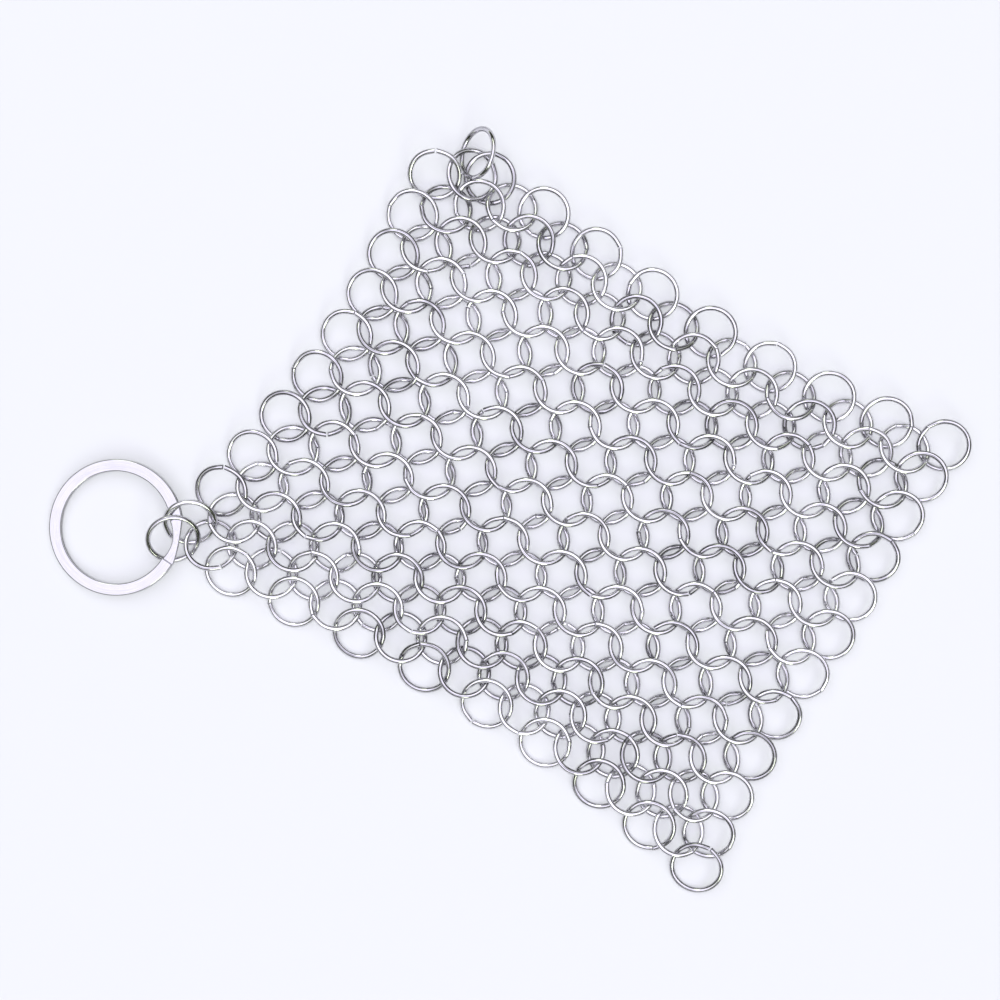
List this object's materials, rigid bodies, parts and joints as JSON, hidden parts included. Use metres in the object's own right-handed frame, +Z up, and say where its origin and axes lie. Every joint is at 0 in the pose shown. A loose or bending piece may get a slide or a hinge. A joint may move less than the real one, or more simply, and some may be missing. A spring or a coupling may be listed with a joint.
{
  "type": "chain mail pot scrubber",
  "caption": "Square mat of linked stainless wire rings for scouring pots and pans, hanging from a flat split key ring at one corner.",
  "frame": {"origin": "middle of the whole part in plan, on the table it lies on", "axes": "+X along the rows of rings, away from the key ring's end; +Y across the rows, away from the key ring's edge; +Z up off the table"},
  "size_m": [0.1574, 0.1232, 0.0097],
  "materials": {
    "ring_wire": "bright drawn stainless wire, tumbled smooth",
    "key_ring_steel": "nickel-bright flat spring strip"
  },
  "bodies": {
    "row_01": {"ring_row_01": "ring_wire"},
    "row_02": {"ring_row_02": "ring_wire"},
    "row_03": {"ring_row_03": "ring_wire"},
    "row_04": {"ring_row_04": "ring_wire"},
    "row_05": {"ring_row_05": "ring_wire"},
    "row_06": {"ring_row_06": "ring_wire"},
    "row_07": {"ring_row_07": "ring_wire"},
    "row_08": {"ring_row_08": "ring_wire"},
    "row_09": {"ring_row_09": "ring_wire"},
    "row_10": {"ring_row_10": "ring_wire"},
    "row_11": {"ring_row_11": "ring_wire"},
    "row_12": {"ring_row_12": "ring_wire"},
    "row_13": {"ring_row_13": "ring_wire"},
    "row_14": {"ring_row_14": "ring_wire"},
    "row_15": {"ring_row_15": "ring_wire"},
    "row_16": {"ring_row_16": "ring_wire"},
    "row_17": {"ring_row_17": "ring_wire"},
    "row_18": {"ring_row_18": "ring_wire"},
    "row_19": {"ring_row_19": "ring_wire"},
    "row_20": {"ring_row_20": "ring_wire"},
    "row_21": {"ring_row_21": "ring_wire"},
    "row_22": {"ring_row_22": "ring_wire", "corner_ring_left": "ring_wire"},
    "row_23": {"ring_row_23": "ring_wire"},
    "corner_top": {"corner_ring_top": "ring_wire"},
    "corner_right": {"corner_ring_right": "ring_wire"},
    "corner_bottom": {"corner_ring_bottom": "ring_wire"},
    "key_ring": {"split_key_ring": "key_ring_steel"}
  },
  "joints": [
    {"name": "fold_12_13", "type": "hinge", "parent": "row_12", "child": "row_13", "pos_m": [0.01111, 0.00292, 0.00348], "axis": [1, 0.0033, 0], "range_deg": [0, 80]},
    {"name": "fold_13_14", "type": "hinge", "parent": "row_13", "child": "row_14", "pos_m": [0.01111, -0.00188, 0.00102], "axis": [-1, -0.0074, 0], "range_deg": [0, 80]},
    {"name": "fold_14_15", "type": "hinge", "parent": "row_14", "child": "row_15", "pos_m": [0.01111, -0.00677, 0.00349], "axis": [0.9999, 0.0107, 0], "range_deg": [0, 80]},
    {"name": "fold_15_16", "type": "hinge", "parent": "row_15", "child": "row_16", "pos_m": [0.01111, -0.01216, 0.00108], "axis": [-0.9999, -0.0136, 0], "range_deg": [0, 80]},
    {"name": "fold_16_17", "type": "hinge", "parent": "row_16", "child": "row_17", "pos_m": [0.01111, -0.01665, 0.00345], "axis": [0.9999, 0.0158, 0], "range_deg": [0, 70]},
    {"name": "fold_17_18", "type": "hinge", "parent": "row_17", "child": "row_18", "pos_m": [0.01111, -0.02068, 0.00119], "axis": [-0.9999, -0.0169, 0], "range_deg": [0, 60]},
    {"name": "fold_18_19", "type": "hinge", "parent": "row_18", "child": "row_19", "pos_m": [0.01111, -0.02566, 0.00338], "axis": [0.9999, 0.0165, 0], "range_deg": [0, 45]},
    {"name": "fold_19_20", "type": "hinge", "parent": "row_19", "child": "row_20", "pos_m": [0.01111, -0.02906, 0.0016], "axis": [-0.9999, -0.0145, 0], "range_deg": [0, 35]},
    {"name": "fold_20_21", "type": "hinge", "parent": "row_20", "child": "row_21", "pos_m": [0.01111, -0.0327, 0.00331], "axis": [1, 0.0039, 0], "range_deg": [0, 15]},
    {"name": "fold_21_22", "type": "hinge", "parent": "row_21", "child": "row_22", "pos_m": [0.01111, -0.0355, 0.00192], "axis": [-1, -0.001, 0], "range_deg": [0, 6]},
    {"name": "fold_22_23", "type": "hinge", "parent": "row_22", "child": "row_23", "pos_m": [0.01111, -0.03942, 0.00277], "axis": [0.9999, 0.0103, 0], "range_deg": [0, 45]},
    {"name": "fold_12_11", "type": "hinge", "parent": "row_12", "child": "row_11", "pos_m": [0.01111, 0.00777, 0.00137], "axis": [1, -0.0016, 0], "range_deg": [0, 80]},
    {"name": "fold_11_10", "type": "hinge", "parent": "row_11", "child": "row_10", "pos_m": [0.01111, 0.01252, 0.0031], "axis": [-1, 0.0074, 0], "range_deg": [0, 80]},
    {"name": "fold_10_09", "type": "hinge", "parent": "row_10", "child": "row_09", "pos_m": [0.01111, 0.01727, 0.00139], "axis": [0.9999, -0.013, 0], "range_deg": [0, 80]},
    {"name": "fold_09_08", "type": "hinge", "parent": "row_09", "child": "row_08", "pos_m": [0.01111, 0.02193, 0.00342], "axis": [-0.9998, 0.0176, 0], "range_deg": [0, 80]},
    {"name": "fold_08_07", "type": "hinge", "parent": "row_08", "child": "row_07", "pos_m": [0.01111, 0.02659, 0.0014], "axis": [0.9998, -0.0199, 0], "range_deg": [0, 70]},
    {"name": "fold_07_06", "type": "hinge", "parent": "row_07", "child": "row_06", "pos_m": [0.01111, 0.03188, 0.00339], "axis": [-0.9998, 0.0207, 0], "range_deg": [0, 75]},
    {"name": "fold_06_05", "type": "hinge", "parent": "row_06", "child": "row_05", "pos_m": [0.01111, 0.03674, 0.0011], "axis": [0.9998, -0.02, 0], "range_deg": [0, 70]},
    {"name": "fold_05_04", "type": "hinge", "parent": "row_05", "child": "row_04", "pos_m": [0.01111, 0.04049, 0.00299], "axis": [-0.9998, 0.0189, 0], "range_deg": [0, 60]},
    {"name": "fold_04_03", "type": "hinge", "parent": "row_04", "child": "row_03", "pos_m": [0.01111, 0.04468, 0.00148], "axis": [0.9999, -0.0142, 0], "range_deg": [0, 40]},
    {"name": "fold_03_02", "type": "hinge", "parent": "row_03", "child": "row_02", "pos_m": [0.01111, 0.0483, 0.00237], "axis": [-1, 0.0044, 0], "range_deg": [0, 10]},
    {"name": "fold_02_01", "type": "hinge", "parent": "row_02", "child": "row_01", "pos_m": [0.01111, 0.05169, 0.00195], "axis": [1, -0.0009, 0], "range_deg": [0, 40]},
    {"name": "corner_top_swing", "type": "hinge", "parent": "row_02", "child": "corner_top", "pos_m": [-0.04412, 0.05605, 0.00235], "axis": [-0.6749, -0.6587, 0.3325], "range_deg": [0, 130]},
    {"name": "corner_right_swing", "type": "hinge", "parent": "row_02", "child": "corner_right", "pos_m": [0.06901, 0.05347, 0.00151], "axis": [0.5006, -0.8079, 0.311], "range_deg": [0, 35]},
    {"name": "corner_bottom_swing", "type": "hinge", "parent": "row_22", "child": "corner_bottom", "pos_m": [0.0704, -0.04253, 0.00299], "axis": [-0.4908, -0.8138, 0.311], "range_deg": [0, 65]},
    {"name": "key_ring_swing", "type": "hinge", "parent": "row_22", "child": "key_ring", "pos_m": [-0.05518, -0.03914, 0.00371], "axis": [-0.6626, 0.749, 0], "range_deg": [0, 85]}
  ]
}
